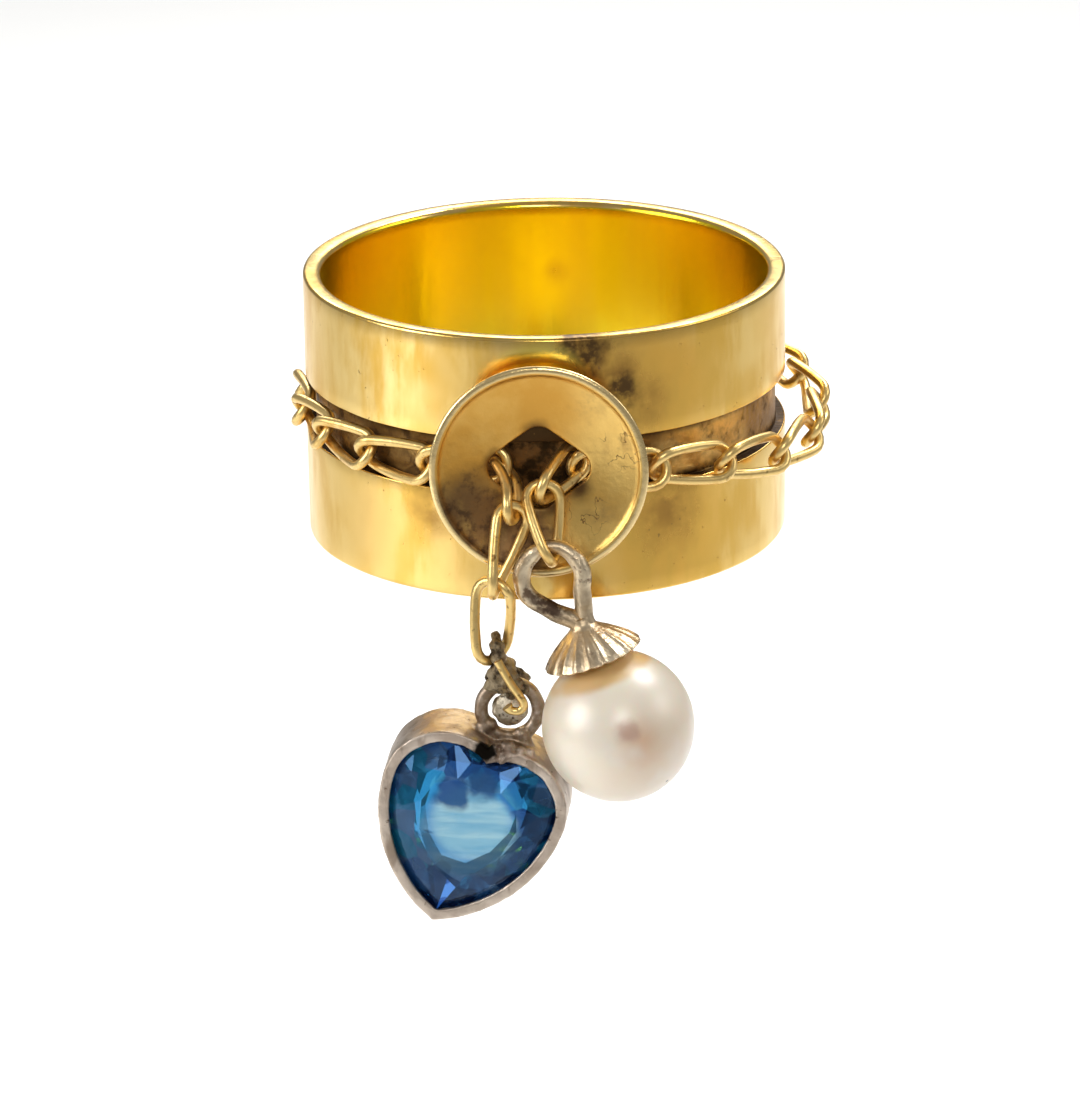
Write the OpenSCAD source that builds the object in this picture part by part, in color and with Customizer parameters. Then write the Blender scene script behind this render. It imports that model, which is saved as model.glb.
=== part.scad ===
// Wide band ring with a chain laid in a channel round it.
// Both ends of the chain come out through a concave dish on the front and hold two small drops:
// a pearl under a ribbed cap, and a heart shaped stone in a plain setting.
// The origin is the middle of the finger hole, Z runs along the finger and the dish faces -Y.

/* [Band] */
// Inside diameter of the band
bore_d = 18; // [17.9:0.05:18]
// Wall thickness of the band
wall = 0.75; // [0.73:0.01:0.75]
// Height of the band along the finger
band_h = 10.85; // [10:0.05:11]
// Height of the channel that the chain lies in
channel_h = 2.2; // [2.2:0.05:2.4]
// Depth of that channel
channel_depth = 0.4; // [0.4:0.01:0.45]

/* [Dish] */
// Diameter of the dish over its rim
dish_d = 8.56; // [8:0.02:8.6]
// Thickness of the dish's metal
dish_t = 0.26; // [0.22:0.01:0.26]
// How far the rim stands in front of the edge of the middle hole
dish_depth = 0.66; // [0.6:0.02:0.7]
// Width of the four sided hole in the dish
hole_w = 4; // [4:0.05:4.2]
// Height of that hole
hole_h = 3.3; // [3.3:0.05:3.5]

/* [Chain] */
// Thickness of the chain's wire
wire_d = 0.42; // [0.38:0.01:0.42]
// Length of a link laid round the band, between the middles of its end bends
link_len = 3.6; // [3.56:0.01:3.64]
// Half the width of such a link, to the middle of the wire
link_half_w = 0.68; // [0.66:0.01:0.69]

/* [Pearl drop] */
// Diameter of the pearl
pearl_d = 6; // [5.9:0.05:6.05]
// Number of ribs round the cap
cap_ribs = 20; // [16:2:24]
// Thickness of the wire of the cap's eye
eye_wire_d = 0.55; // [0.5:0.01:0.55]

/* [Heart drop] */
// Depth of the setting from front to back
setting_depth = 2.8; // [2.7:0.05:2.9]
// Thickness of the setting's wall
setting_wall = 0.3; // [0.26:0.01:0.32]
// Height of the stone's crown in front of its girdle
crown_h = 0.8; // [0.7:0.05:0.9]
// Width of the stone's table as a part of the stone's width
table_part = 0.58; // [0.5:0.01:0.62]

/* [Hidden] */
fine = 96;
bore_r = bore_d / 2;
band_r = bore_r + wall;
rim_inner_round = 0.3;
rim_outer_round = 0.15;
channel_z = 0.1;

// The dish leans back a little, and its frame has +Z out of the front
dish_gap = 0.6;
dish_lean = 2.5;
dish_z = 0.33;
dish_rim_r = dish_d / 2;
dish_lip_r = 0.19;
hole_round = 0.75;
hole_steps = 8;
hole_edge_r = (hole_w + hole_h) / 4;
dish_sphere_r = (pow(dish_rim_r, 2) - pow(hole_edge_r, 2)) / (2 * dish_depth);
seat_r = 2.5;

// Wire section, and stations along each bend and each side of a link
wire_r = wire_d / 2;
wire_sides = 6;
bend_steps = 4;
side_steps = 4;

// The chain round the band: it runs from the dish's right side, angles counted from the front
// towards +X, and bows out of its channel and sags on the right
round_links = 18;
round_from = 36;
round_to = 324.5;
round_twist = -75;
chain_lift = 0.27;
chain_z = -0.05;
bow_out = 1.2;
bow_at = 82;
bow_half = 70;
bow_sag = 0.75;
sag_at = 72;
sag_half = 54;
path_steps = 240;

// Everything in front of the band is placed from the front of the band
front = [0, -band_r, 0];

// Links at the chain's two ends. Columns: name, middle of the upper or right end bend, middle of
// the other end bend, turn about the length, half width, twist, bend. Places are from the front.
link_name = 0;
link_high = 1;
link_low = 2;
link_turn = 3;
link_width = 4;
link_twist = 5;
link_bend = 6;
end_links = [
    ["link_left", [-1.23, -0.21, 0.36], [-4.7, 0.98, 0.03], 7.5, 0.68, -40, 0],
    ["link_right", [4.97, 0.92, -0.31], [1.24, -0.02, 0.29], -2, 0.7, -45, 0],
    ["hook_left", [-1.29, 0.14, 0.51], [-0.82, -2.28, -1.07], 78, 0.6, -32, 57.5],
    ["hook_right", [1.69, 0.33, 0.69], [0.02, -1.71, -0.4], 20, 0.61, -61.5, 0],
    ["link_pearl", [0.1, -1.33, -0.02], [0.51, -2.28, -2.97], 46.5, 0.69, -76, 0],
    ["link_heart_upper", [-0.88, -1.69, -0.8], [-1.8, -2.57, -4.21], 49.5, 0.68, -74, 0],
    ["link_heart_lower", [-1.77, -2.3, -3.72], [-1.93, -1.92, -7.16], 9, 0.7, -75, 0]
];

// Pearl drop: its frame has the pearl's middle as origin and +Z through the cap
pearl_r = pearl_d / 2;
pearl_at = [3.03, -2.7, -9.62];
pearl_tilt = -18.5;
pearl_lean = -5;
cap_rim_r = 1.94;
cap_rim_z = 3.02;
cap_seat = 0.05;
rib_low = [1.9, 0, 3.05];
rib_low_r = 0.1;
rib_high = [0.86, 0, 3.98];
rib_high_r = 0.06;
peg_r = 0.35;
peg_len = 1.6;
peg_hole_r = 0.4;
peg_hole_len = 2;
eye_at = [-0.5, 0, 6.5];
eye_r = 1.25;
eye_from = -10;
eye_to = 228;
eye_steps = 12;
eye_sides = 10;

// Heart drop: its frame has the middle between the lobes on the setting's front plane as origin,
// +Z up through the cleft and -Y out of the front
heart_at = [-2.69, -3.1, -12.69];
heart_tilt = 18.6;
heart_yaw = -4;
lobe_r = 2.52;
lobe_x = 1.22;
heart_h = 5.4;
lobe_end = 3;
lip_t = 0.2;
lip_w = 0.15;
ledge_y = 0.72;
ledge_t = 0.3;
ledge_w = 0.2;
ring_at = [-1.25, -1.6, -9.36];
ring_r = 1.13;
ring_wire_r = 0.28;
solder_r = 0.32;

// The side of the heart is an arc that touches the lobe and runs to the point
side_d = [cos(lobe_end), -sin(lobe_end)];
side_t = [-lobe_x, -heart_h];
side_q = (side_t * side_t - pow(lobe_r, 2)) / (2 * (lobe_r - side_t * side_d));
side_r = lobe_r + side_q;
side_c = [lobe_x, 0] - side_q * side_d;

// Stone: rings of points about its own middle, in parts of its outline and of its heights
stone_gap = 0.04;
stone_mid = [0, -0.9];
stone_front = 0.35;
girdle_t = 0.15;
pavilion_h = 1.1;
kite_part = 0.81;
kite_rise = 0.52;
culet_part = 0.54;

// Loop between the lowest link and the heart's ring, and the old solder on it
jump_high = [-1.77, -1.62, -6.28];
jump_low = [-1.17, -1.59, -8.81];
jump_turn = 94;
jump_half_w = 0.56;
jump_wire_r = 0.2;
crust_r = 0.22;
crust_out = 0.58;

function unit(v) = v / norm(v);
function bump(t, at, half) = abs(t - at) < half ? (1 + cos(180 * (t - at) / half)) / 2 : 0;

// Band and dish

module corner_cut(r) {
    difference() {
        translate([-r, -r]) square(2 * r);
        translate([r, r]) circle(r, $fn = fine);
    }
}

module rounded_profile(w, h, inner_round, outer_round) {
    difference() {
        square([w, h]);
        for (top = [0, 1]) {
            translate([0, top * h]) mirror([0, top]) corner_cut(inner_round);
            translate([w, top * h]) mirror([1, 0]) mirror([0, top]) corner_cut(outer_round);
        }
    }
}

module band_ring() {
    difference() {
        rotate_extrude($fn = fine)
            translate([bore_r, -band_h / 2])
                rounded_profile(wall, band_h, rim_inner_round, rim_outer_round);
        rotate_extrude($fn = fine)
            translate([band_r - channel_depth, channel_z - channel_h / 2])
                square([1, channel_h]);
    }
}

module on_dish() {
    translate(front + [0, -dish_gap, dish_z]) rotate([90 - dish_lean, 0, 0]) children();
}

// Height of the dish's inner face in front of the hole's edge, at the radius r
function dish_rise(r) = (pow(r, 2) - pow(hole_edge_r, 2)) / (2 * dish_sphere_r);

// The bowl between two spheres, with a rounded lip
module dish_bowl() {
    sphere_z = dish_rise(0) + dish_sphere_r;
    rotate_extrude($fn = fine) {
        intersection() {
            difference() {
                translate([0, sphere_z]) circle(dish_sphere_r + dish_t, $fn = 4 * fine);
                translate([0, sphere_z]) circle(dish_sphere_r, $fn = 4 * fine);
            }
            translate([0, -2]) square([dish_rim_r - dish_lip_r, 4]);
        }
        translate([dish_rim_r - dish_lip_r, dish_rise(dish_rim_r) - dish_t / 2])
            circle(dish_lip_r, $fn = 24);
    }
}

// Four sided outline with round corners, standing on one of them
module hole_outline() {
    a = hole_w / 2 - hole_round;
    b = hole_h / 2 - hole_round;
    t = atan2(a, b);
    corners = [[a, 0, -t, t], [0, b, t, 180 - t], [-a, 0, 180 - t, 180 + t], [0, -b, 180 + t, 360 - t]];
    polygon([
        for (c = corners, k = [0:hole_steps])
            let (angle = c[2] + (c[3] - c[2]) * k / hole_steps)
            [c[0], c[1]] + hole_round * [cos(angle), sin(angle)]
    ]);
}

// Solder seat above and below the chain's way through
module dish_seat() {
    difference() {
        on_dish() translate([0, 0, -2 * dish_gap - wall / 2])
            cylinder(h = 2 * dish_gap + wall / 2, r = seat_r, $fn = fine);
        cylinder(h = band_h, r = band_r - channel_depth / 2, center = true, $fn = fine);
        translate([-dish_d, -2 * band_r, channel_z - channel_h / 2])
            cube([2 * dish_d, 2 * band_r, channel_h]);
    }
}

module ring_band() color("goldenrod") {
    band_ring();
    difference() {
        union() {
            on_dish() dish_bowl();
            dish_seat();
        }
        on_dish() translate([0, 0, -2 * dish_gap - wall])
            linear_extrude(band_r) hole_outline();
    }
}

// Wire swept along points. The side direction turns the wire's section.

function tube_ring(p, t, side, r, sides) =
    let (a = unit(side - t * (side * t)), b = cross(t, a))
    [for (j = [0:sides - 1]) p + r * (cos(360 * j / sides) * a + sin(360 * j / sides) * b)];

function tube_faces(steps, rings, sides) = [
    for (i = [0:steps - 1], j = [0:sides - 1])
        let (
            this = i * sides,
            next = (i + 1) % rings * sides,
            j2 = (j + 1) % sides
        )
        each [
            [this + j, next + j, next + j2],
            [this + j, next + j2, this + j2]
        ]
];

module closed_wire(points, side_dirs, r, sides) {
    n = len(points);
    rings = [
        for (i = [0:n - 1])
            let (t = unit(points[(i + 1) % n] - points[(i + n - 1) % n]))
            each tube_ring(points[i], t, side_dirs[i], r, sides)
    ];
    polyhedron(rings, tube_faces(n, n, sides));
}

module open_wire(points, side_dir, r, sides) {
    n = len(points);
    rings = [
        for (i = [0:n - 1])
            let (t = unit(points[min(i + 1, n - 1)] - points[max(i - 1, 0)]))
            each tube_ring(points[i], t, side_dir, r, sides)
    ];
    ends = [[for (j = [0:sides - 1]) j], [for (j = [sides - 1:-1:0]) (n - 1) * sides + j]];
    polyhedron(rings, concat(tube_faces(n - 1, n, sides), ends));
}

// Links: an oval of wire, twisted about its length and, on one link, bent

function oval(length, half_w) =
    let (h = length / 2 - half_w)
    concat(
        [for (i = [0:bend_steps]) let (t = -90 + 180 * i / bend_steps)
            [half_w * sin(t), h + half_w * cos(t)]],
        [for (i = [1:side_steps - 1]) [half_w, h - 2 * h * i / side_steps]],
        [for (i = [0:bend_steps]) let (t = 90 + 180 * i / bend_steps)
            [half_w * sin(t), -h + half_w * cos(t)]],
        [for (i = [1:side_steps - 1]) [-half_w, -h + 2 * h * i / side_steps]]
    );

// Place in the finished link of a point x across, y out of its plane and z along it
function link_place(x, y, z, length, twist, bend) =
    let (a = twist * z / length, p = [x * cos(a) - y * sin(a), x * sin(a) + y * cos(a), z])
    bend == 0 ? p
    : let (r = length / (bend * PI / 180), t = bend * z / length)
        [p[0], r - (r - p[1]) * cos(t), (r - p[1]) * sin(t)];

module link(length, half_w, twist, bend = 0, r = wire_r) {
    line = oval(length, half_w);
    points = [for (p = line) link_place(p[0], 0, p[1], length, twist, bend)];
    sides = [for (i = [0:len(line) - 1])
        link_place(line[i][0], 1, line[i][1], length, twist, bend) - points[i]];
    closed_wire(points, sides, r, wire_sides);
}

function chain_point(t) =
    let (r = band_r - channel_depth + wire_r + chain_lift + bow_out * bump(t, bow_at, bow_half))
    [r * sin(t), -r * cos(t), chain_z - bow_sag * bump(t, sag_at, sag_half)];

function path_angle(i) = round_from + (round_to - round_from) * i / path_steps;

// Length of the chain's line up to each step, with the angle there
path_lengths = [
    for (
        i = 0, s = 0;
        i <= path_steps;
        s = s + norm(chain_point(path_angle(i + 1)) - chain_point(path_angle(i))), i = i + 1
    ) [s, path_angle(i)]
];

module round_link(k) color("goldenrod") {
    t = lookup(path_lengths[path_steps][0] * (k - 1) / (round_links - 1), path_lengths);
    d = unit(chain_point(t + 0.5) - chain_point(t - 0.5));
    w = unit([0, 0, 1] - d * d[2]);
    y = cross(d, w);
    p = chain_point(t);
    multmatrix([
        [w[0], y[0], d[0], p[0]],
        [w[1], y[1], d[1], p[1]],
        [w[2], y[2], d[2], p[2]],
        [0, 0, 0, 1]
    ])
        link(link_len, link_half_w, round_twist);
}

// Places a piece whose length lies along Z between two points
module between(high, low, turn = 0) {
    d = unit(high - low);
    translate((high + low) / 2)
        rotate([0, atan2(d[0], d[2]), 0]) rotate([-asin(d[1]), 0, 0]) rotate([0, 0, turn]) children();
}

module end_link(name) color("goldenrod") {
    row = end_links[search([name], end_links)[0]];
    high = row[link_high];
    low = row[link_low];
    translate(front) between(high, low, row[link_turn])
        link(norm(high - low), row[link_width], row[link_twist], row[link_bend]);
}

// Pearl drop

module on_pearl() {
    translate(front + pearl_at) rotate([pearl_lean, pearl_tilt, 0]) children();
}

// Half section of the cap, from the middle of its underside to the top of its neck
module cap_section() {
    seat = pearl_r + cap_seat;
    polygon([
        [0, seat], [1.25, seat], [cap_rim_r - 0.12, cap_rim_z - 0.08], [cap_rim_r, cap_rim_z],
        [1.66, 3.38], [1.22, 3.76], [0.8, 4.08], [0.5, 4.32], [0.42, 4.62], [0, 4.68]
    ]);
}

// Raised rib from the rim up to the neck
module cap_rib() {
    hull() {
        translate(rib_low) sphere(rib_low_r, $fn = 8);
        translate(rib_high) sphere(rib_high_r, $fn = 8);
    }
}

// Eye of the cap: up from the neck, round, and back down to the neck
module cap_eye() {
    arc = [
        for (i = [0:eye_steps])
            let (a = eye_from + (eye_to - eye_from) * i / eye_steps)
            eye_at + eye_r * [cos(a), 0, sin(a)]
    ];
    leg = [[0.2, 0, 4.3], [0.22, 0, 4.75], [0.44, 0, 5.6]];
    tail = [[-0.8, 0, 5.08], [-0.3, 0, 4.66], [0, 0, 4.35]];
    open_wire(concat(leg, arc, tail), [0, 1, 0], eye_wire_d / 2, eye_sides);
}

module pearl_cap() color("rosybrown") on_pearl() {
    rotate_extrude($fn = 2 * cap_ribs) cap_section();
    for (k = [0:cap_ribs - 1]) {
        rotate([0, 0, 360 * k / cap_ribs]) cap_rib();
    }
    cap_eye();
    translate([0, 0, pearl_r - peg_len]) cylinder(h = peg_len + 0.5, r = peg_r, $fn = 16);
}

module pearl() color("ivory") on_pearl() {
    difference() {
        sphere(pearl_r, $fn = fine);
        translate([0, 0, pearl_r - peg_hole_len]) cylinder(h = 2 * peg_hole_len, r = peg_hole_r, $fn = 32);
    }
}

// Heart drop

module on_heart() {
    translate(front + heart_at) rotate([0, heart_tilt, 0]) rotate([0, 0, heart_yaw]) children();
}

// Outline of the heart, moved outwards by grow
module heart_outline(grow) {
    far = 4 * heart_h;
    for (s = [0, 1]) {
        mirror([s, 0]) translate([lobe_x, 0]) circle(lobe_r + grow, $fn = fine);
    }
    intersection() {
        translate(side_c) circle(side_r + grow, $fn = 2 * fine);
        mirror([1, 0]) translate(side_c) circle(side_r + grow, $fn = 2 * fine);
        polygon([
            [-lobe_x, 0], [lobe_x, 0], [lobe_x, 0] + far * side_d,
            [0, -far], [-lobe_x - far * side_d[0], far * side_d[1]]
        ]);
    }
}

// The outline as a solid between two depths behind the front plane
module heart_prism(grow, from, to) {
    translate([0, to, 0]) rotate([90, 0, 0]) linear_extrude(to - from) heart_outline(grow);
}

module heart_wall() {
    ledge_back = ledge_y + ledge_t;
    difference() {
        heart_prism(0, 0, setting_depth);
        heart_prism(-setting_wall - lip_w, -1, ledge_y);
        heart_prism(-setting_wall, lip_t, ledge_y);
        heart_prism(-setting_wall - ledge_w, lip_t, setting_depth);
        heart_prism(-setting_wall, ledge_back, setting_depth + 1);
    }
}

// Drop of solder from the ring to the top of one lobe
module solder_drop(on_ring, on_lobe) {
    hull() {
        translate(on_ring) sphere(solder_r, $fn = 16);
        translate(on_lobe) sphere(solder_r, $fn = 16);
    }
}

module heart_setting() color("tan") {
    on_heart() {
        heart_wall();
        solder_drop([-0.35, 1.45, 2.75], [-0.75, 1.4, 2.3]);
        solder_drop([0.95, 1.45, 2.8], [1.3, 1.4, 2.35]);
    }
    translate(front + ring_at) rotate([90, 0, 0])
        rotate_extrude($fn = fine) translate([ring_r, 0]) circle(ring_wire_r, $fn = 32);
}

// Point of the outline on the right: s runs from 0 at the cleft to 1 at the lobe's end and 2 at the point
function heart_point(s, grow) =
    s <= 1
    ? let (r = lobe_r + grow, top = 180 - acos(lobe_x / r), a = top - (top + lobe_end) * s)
        [lobe_x + r * cos(a), r * sin(a)]
    : let (r = side_r + grow, low = -acos(-side_c[0] / r), a = -lobe_end + (low + lobe_end) * (s - 1))
        side_c + r * [cos(a), sin(a)];

// Ring of 4 * n points, from the cleft down the left side and up the right side
function heart_ring(n, grow) = [
    for (k = [0:4 * n - 1])
        let (left = k <= 2 * n, s = (left ? k : 4 * n - k) / n, p = heart_point(s, grow))
        left ? [-p[0], p[1]] : p
];

// Points of every step-th ring point, drawn in to a part of the outline, at the height h
function stone_ring(outline, first, step, part, h) = [
    for (k = [first:step:len(outline) - 1])
        let (p = stone_mid + part * (outline[k] - stone_mid))
        [p[0], p[1], h]
];

module stone_cut() {
    outline = heart_ring(6, -setting_wall - stone_gap);
    n = len(outline);
    m = n / 2;
    points = concat(
        [[stone_mid[0], stone_mid[1], -girdle_t - pavilion_h]],
        stone_ring(outline, 1, 2, culet_part, -girdle_t - pavilion_h),
        stone_ring(outline, 0, 1, 1, -girdle_t),
        stone_ring(outline, 0, 1, 1, 0),
        stone_ring(outline, 1, 2, kite_part, kite_rise * crown_h),
        stone_ring(outline, 0, 2, table_part, crown_h),
        [[stone_mid[0], stone_mid[1], crown_h]]
    );
    culet = 1;
    back = culet + m;
    belt = back + n;
    kite = belt + n;
    table = kite + m;
    middle = table + m;
    pavilion = [
        for (j = [0:m - 1])
            let (j0 = (j + m - 1) % m, g = 2 * j, g2 = (g + 2) % n)
            each [
                [0, culet + j0, culet + j],
                [culet + j0, back + g, culet + j],
                [culet + j, back + g, back + g + 1],
                [culet + j, back + g + 1, back + g2]
            ]
    ];
    girdle = [
        for (k = [0:n - 1])
            let (k2 = (k + 1) % n)
            each [
                [back + k, belt + k, belt + k2],
                [back + k, belt + k2, back + k2]
            ]
    ];
    crown = [
        for (j = [0:m - 1])
            let (j0 = (j + m - 1) % m, j2 = (j + 1) % m, g = 2 * j, g2 = (g + 2) % n)
            each [
                [belt + g, kite + j, belt + g + 1],
                [belt + g + 1, kite + j, belt + g2],
                [belt + g, kite + j0, table + j],
                [belt + g, table + j, kite + j],
                [kite + j, table + j, table + j2],
                [middle, table + j2, table + j]
            ]
    ];
    polyhedron(points, concat(pavilion, girdle, crown));
}

module heart_stone() color("steelblue") on_heart() translate([0, stone_front, 0]) rotate([90, 0, 0]) stone_cut();

// Loop above the heart, with a saddle of old solder over the ring, clear of it

module crust_plate(side) {
    y = side * crust_out;
    hull() {
        translate(front + [-1.55, ring_at[1] + y, -7.68]) sphere(crust_r, $fn = 12);
        translate(front + [-2.05, ring_at[1] + y, -8.2]) sphere(crust_r, $fn = 12);
        translate(front + [-0.65, ring_at[1] + y, -8.25]) sphere(crust_r, $fn = 12);
    }
}

module crust_bridge() {
    hull() {
        for (side = [-1, 1]) {
            translate(front + [-1.7, ring_at[1] + side * crust_out, -7.62]) sphere(crust_r, $fn = 12);
            translate(front + [-1.2, ring_at[1] + side * crust_out, -7.62]) sphere(crust_r, $fn = 12);
        }
    }
}

module heart_jump() color("darkgoldenrod") {
    translate(front) between(jump_high, jump_low, jump_turn)
        link(norm(jump_high - jump_low), jump_half_w, 0, 0, jump_wire_r);
    crust_plate(-1);
    crust_plate(1);
    crust_bridge();
}

ring_band();
for (k = [1:round_links]) round_link(k);
for (row = end_links) end_link(row[link_name]);
heart_jump();
pearl_cap();
pearl();
heart_setting();
heart_stone();
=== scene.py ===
import math

import bmesh
import bpy
from mathutils import Matrix, Vector, noise


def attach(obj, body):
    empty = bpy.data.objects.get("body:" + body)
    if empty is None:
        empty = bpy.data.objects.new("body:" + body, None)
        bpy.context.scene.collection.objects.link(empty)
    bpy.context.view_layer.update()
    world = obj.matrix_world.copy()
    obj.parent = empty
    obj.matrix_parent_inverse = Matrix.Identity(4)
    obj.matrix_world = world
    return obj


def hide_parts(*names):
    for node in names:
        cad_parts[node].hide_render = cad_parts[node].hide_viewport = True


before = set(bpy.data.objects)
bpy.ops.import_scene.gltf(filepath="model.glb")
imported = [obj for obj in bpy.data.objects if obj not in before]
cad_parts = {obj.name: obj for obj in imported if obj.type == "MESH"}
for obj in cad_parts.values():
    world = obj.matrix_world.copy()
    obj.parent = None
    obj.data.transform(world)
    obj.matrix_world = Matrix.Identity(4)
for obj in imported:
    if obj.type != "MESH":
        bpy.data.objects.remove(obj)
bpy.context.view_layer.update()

scene = bpy.context.scene
mm = 0.001

# Camera, floor and lights

camera = {
    "distance": 223.125,  # mm, from the middle of the finger hole
    "elevation": 18.43,  # this and the next four are degrees
    "azimuth": 1.65,
    "pitch": 1.7333,
    "yaw": 0.0875,
    "roll": -0.802,
    "lens": 176.51,
    "sensor": 36,
    "clip": (0.01, 20),  # metres
}

# Floor and lights are in metres
stage = {
    "floorSize": 1.4,
    "floorZ": -0.15,
    "floorColor": (0.86, 0.86, 0.85, 1),
    "skyColor": (1.0, 0.99, 0.97, 1),
    "skyStrength": 0.25,
}

# Place, point aimed at, size, watts, colour
lights = {
    "left": ((-0.43, -0.18, 0.16), (-0.15, -0.08, -0.15), 0.3, 1.2, (1, 0.98, 0.95)),
    "leftFloor": ((-0.38, -0.17, 0.02), (-0.38, -0.17, -0.15), 0.26, 0.33, (1, 0.98, 0.95)),
    "right": ((0.42, -0.02, 0.2), (0.3, 0, -0.15), 0.25, 0.35, (1, 0.98, 0.95)),
    "front": ((0.06, -0.42, 0.26), (0, 0, -0.02), 0.16, 0.45, (1, 0.97, 0.93)),
    "top": ((0.2, 0.16, 0.37), (0, 0, 0), 0.15, 0.9, (1, 1, 1)),
    "backdrop": ((0, 0.42, 0.25), (0, 0.43, -0.15), 0.5, 2.6, (1, 1, 1)),
}


def turned(v, degrees, axis):
    return Matrix.Rotation(math.radians(degrees), 3, axis) @ v


def placeCamera(c):
    e = math.radians(c["elevation"])
    v = e + math.radians(c["pitch"])
    roll = math.radians(c["roll"])
    place = Vector((0, -math.cos(e), math.sin(e))) * c["distance"] * mm
    forward = turned(Vector((0, math.cos(v), -math.sin(v))), c["yaw"], "Z")
    right = forward.cross(Vector((0, 0, 1))).normalized()
    up = right.cross(forward)
    sideways = right * math.cos(roll) + up * math.sin(roll)
    upwards = up * math.cos(roll) - right * math.sin(roll)
    axes = [turned(a, c["azimuth"], "Z") for a in (sideways, upwards, -forward)]
    data = bpy.data.cameras.new("camera")
    data.lens = c["lens"]
    data.sensor_width = c["sensor"]
    data.clip_start, data.clip_end = c["clip"]
    eye = bpy.data.objects.new("camera", data)
    facing = Matrix(axes).transposed().to_4x4()
    eye.matrix_world = Matrix.Translation(turned(place, c["azimuth"], "Z")) @ facing
    scene.collection.objects.link(eye)
    scene.camera = eye


def addLight(name, place, aim, size, watts, color):
    data = bpy.data.lights.new(name, "AREA")
    data.shape = "DISK"
    data.size = size
    data.energy = watts
    data.color = color
    lamp = bpy.data.objects.new(name, data)
    lamp.location = place
    lamp.rotation_euler = (Vector(aim) - Vector(place)).to_track_quat("-Z", "Y").to_euler()
    lamp.visible_camera = False
    scene.collection.objects.link(lamp)


# Material helpers

def newMaterial(name, color, metallic, roughness, **sockets):
    mat = bpy.data.materials.new(name)
    mat.use_nodes = True
    shader = mat.node_tree.nodes["Principled BSDF"]
    shader.inputs["Base Color"].default_value = (*color, 1)
    shader.inputs["Metallic"].default_value = metallic
    shader.inputs["Roughness"].default_value = roughness
    for socket, value in sockets.items():
        shader.inputs[socket.replace("_", " ")].default_value = value
    return mat


def addNode(mat, kind, inputs=(), **settings):
    n = mat.node_tree.nodes.new("ShaderNode" + kind)
    for setting, value in settings.items():
        setattr(n, setting, value)
    for socket, value in dict(inputs).items():
        if isinstance(value, bpy.types.NodeSocket):
            mat.node_tree.links.new(value, n.inputs[socket])
        else:
            n.inputs[socket].default_value = value
    return n


def objectPlace(mat):
    found = mat.node_tree.nodes.get("objectPlace")
    if not found:
        found = addNode(mat, "TexCoord", name="objectPlace")
    return found.outputs["Object"]


def addNoise(mat, place, size, detail, roughness=0.5):
    n = addNode(
        mat, "TexNoise",
        {"Vector": place, "Scale": 1 / (size * mm), "Detail": detail, "Roughness": roughness},
    )
    return n.outputs["Fac"]


cloudRoughness = 0.6


# Soft cloudy mask, 0 below the noise value low and 1 above high; size is in millimetres
def clouds(mat, size, low, high, detail=4.0, stretch=(1, 1, 1)):
    place = addNode(mat, "Mapping", {"Vector": objectPlace(mat), "Scale": stretch})
    return remap(mat, addNoise(mat, place.outputs[0], size, detail, cloudRoughness), low, high)


def remap(mat, value, low, high, toLow=0.0, toHigh=1.0):
    n = addNode(
        mat, "MapRange",
        {"Value": value, "From Min": low, "From Max": high, "To Min": toLow, "To Max": toHigh},
        interpolation_type="SMOOTHSTEP",
    )
    return n.outputs["Result"]


def distanceFrom(mat, place):
    d = addNode(mat, "VectorMath", {0: objectPlace(mat), 1: Vector(place) * mm}, operation="DISTANCE")
    return d.outputs["Value"]


patchDetail = 5.0


# Patch round a place in millimetres, 1 inside and 0 past the radius, with a ragged edge
def patch(mat, place, radius, soft=0.5, ragged=0.35, grain=1.2):
    distance = distanceFrom(mat, place)
    n = addNoise(mat, objectPlace(mat), grain, patchDetail)
    edge = addNode(mat, "Math", {0: n, 1: 2 * ragged * radius * mm, 2: distance}, operation="MULTIPLY_ADD")
    high = (1 + ragged) * radius * mm
    return remap(mat, edge.outputs[0], high, high * (1 - soft))


def times(mat, a, b):
    return addNode(mat, "Math", {0: a, 1: b}, operation="MULTIPLY").outputs[0]


def most(mat, masks):
    top = masks[0]
    for m in masks[1:]:
        top = addNode(mat, "Math", {0: top, 1: m}, operation="MAXIMUM").outputs[0]
    return top


# Lays colours over the base colour, and roughness over the base roughness, each through its mask
def paint(mat, layers):
    shader = mat.node_tree.nodes["Principled BSDF"]
    color = tuple(shader.inputs["Base Color"].default_value)
    rough = shader.inputs["Roughness"].default_value
    for mask, over, overRough in layers:
        if over:
            color = addNode(mat, "Mix", {0: mask, 6: color, 7: (*over, 1)}, data_type="RGBA").outputs[2]
        if overRough is not None:
            rough = addNode(mat, "Mix", {0: mask, 2: rough, 3: overRough}).outputs[0]
    for socket, value in (("Base Color", color), ("Roughness", rough)):
        if isinstance(value, bpy.types.NodeSocket):
            mat.node_tree.links.new(value, shader.inputs[socket])


def addBump(mat, height, distance, strength=1.0):
    b = addNode(mat, "Bump", {"Height": height, "Distance": distance * mm, "Strength": strength})
    mat.node_tree.links.new(b.outputs[0], mat.node_tree.nodes["Principled BSDF"].inputs["Normal"])


# Materials; places are in millimetres, and a painted layer is mask, colour, roughness

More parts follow.
